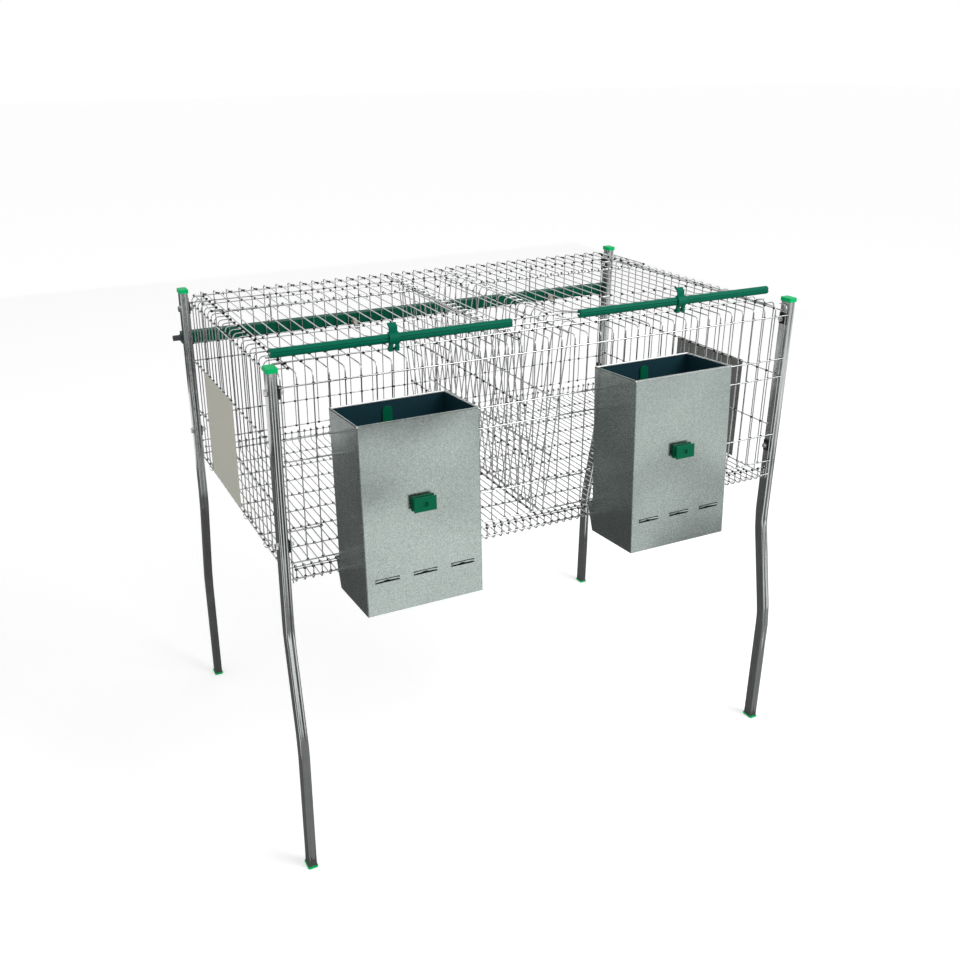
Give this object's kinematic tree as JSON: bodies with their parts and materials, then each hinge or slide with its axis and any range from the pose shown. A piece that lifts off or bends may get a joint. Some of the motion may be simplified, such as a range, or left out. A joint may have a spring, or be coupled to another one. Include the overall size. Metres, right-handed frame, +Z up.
{
  "type": "rabbit cage",
  "caption": "Raised wire-mesh rabbit cage on stepped tube legs, with hinged lids, a V hay rack, hopper feeders and a drinker line.",
  "frame": {"origin": "on the ground, midway between the four legs", "axes": "+X to the right along the cage, seen from the feeders; +Y to the back; +Z up"},
  "size_m": [1.0065, 0.7707, 0.9138],
  "materials": {
    "galvanised_wire": "bright galvanised wire",
    "galvanised_tube": "galvanised roll-formed tube",
    "galvanised_sheet": "spangled galvanised sheet",
    "cap_green": "bright green moulded plastic",
    "bar_green": "green extruded plastic",
    "clip_green": "green moulded plastic",
    "pipe_green": "dark green plastic pipe",
    "plate_grey": "grey coated sheet",
    "spigot_grey": "grey plastic",
    "nipple_brass": "turned brass",
    "nipple_steel": "stainless pin",
    "zinc_hardware": "bright zinc plate",
    "bracket_black": "dark coated steel"
  },
  "bodies": {
    "cage": {"front_panel": "galvanised_wire", "rear_panel": "galvanised_wire", "rear_top_panel": "galvanised_wire", "left_wall": "galvanised_wire", "right_wall": "galvanised_wire", "floor_panel": "galvanised_wire", "hay_rack_left": "galvanised_wire", "hay_rack_right": "galvanised_wire", "hay_rack_tie": "galvanised_wire", "panel_rings": "galvanised_wire", "pipe_hangers": "galvanised_wire", "front_left_leg": "galvanised_tube", "front_left_leg_cap": "cap_green", "front_left_leg_foot": "cap_green", "front_right_leg": "galvanised_tube", "front_right_leg_cap": "cap_green", "front_right_leg_foot": "cap_green", "rear_left_leg": "galvanised_tube", "rear_left_leg_cap": "cap_green", "rear_left_leg_foot": "cap_green", "rear_right_leg": "galvanised_tube", "rear_right_leg_cap": "cap_green", "rear_right_leg_foot": "cap_green", "left_side_plate": "plate_grey", "left_pipe_cap": "pipe_green", "left_nipple_body": "nipple_brass", "right_side_plate": "plate_grey", "right_pipe_cap": "pipe_green", "right_nipple_body": "nipple_brass", "drinker_pipe": "pipe_green", "inlet_spigot": "spigot_grey", "leg_bolts": "zinc_hardware", "leg_nuts": "zinc_hardware", "leg_brackets": "bracket_black"},
    "left_lid": {"left_lid_mesh": "galvanised_wire", "left_lid_bar": "bar_green"},
    "left_latch": {"left_latch": "bar_green"},
    "left_feeder": {"left_feeder_shell": "galvanised_sheet", "left_feeder_back": "galvanised_sheet", "left_feeder_trough": "galvanised_sheet", "left_feeder_hanger": "clip_green", "left_feeder_clip": "clip_green"},
    "left_drinker_pin": {"left_nipple_pin": "nipple_steel"},
    "right_lid": {"right_lid_mesh": "galvanised_wire", "right_lid_bar": "bar_green"},
    "right_latch": {"right_latch": "bar_green"},
    "right_feeder": {"right_feeder_shell": "galvanised_sheet", "right_feeder_back": "galvanised_sheet", "right_feeder_trough": "galvanised_sheet", "right_feeder_hanger": "clip_green", "right_feeder_clip": "clip_green"},
    "right_drinker_pin": {"right_nipple_pin": "nipple_steel"}
  },
  "joints": [
    {"name": "left_lid_hinge", "type": "hinge", "parent": "cage", "child": "left_lid", "pos_m": [-0.2625, 0.129, 0.87072], "axis": [-1, 0, 0], "range_deg": [0, 170]},
    {"name": "left_latch_turn", "type": "hinge", "parent": "left_lid", "child": "left_latch", "pos_m": [-0.275, -0.241, 0.89027], "axis": [-1, 0, 0], "range_deg": [0, 40]},
    {"name": "left_feeder_lift", "type": "slide", "parent": "cage", "child": "left_feeder", "axis": [0, 0, 1], "range_m": [0, 0.03]},
    {"name": "left_drinker_push", "type": "slide", "parent": "cage", "child": "left_drinker_pin", "axis": [0, 0.866, 0.5], "range_m": [0, 0.002], "stiffness_N_per_m": 150},
    {"name": "right_lid_hinge", "type": "hinge", "parent": "cage", "child": "right_lid", "pos_m": [0.2625, 0.129, 0.87072], "axis": [-1, 0, 0], "range_deg": [0, 170]},
    {"name": "right_latch_turn", "type": "hinge", "parent": "right_lid", "child": "right_latch", "pos_m": [0.275, -0.241, 0.89027], "axis": [-1, 0, 0], "range_deg": [0, 40]},
    {"name": "right_feeder_lift", "type": "slide", "parent": "cage", "child": "right_feeder", "axis": [0, 0, 1], "range_m": [0, 0.03]},
    {"name": "right_drinker_push", "type": "slide", "parent": "cage", "child": "right_drinker_pin", "axis": [0, 0.866, 0.5], "range_m": [0, 0.002], "stiffness_N_per_m": 150}
  ]
}
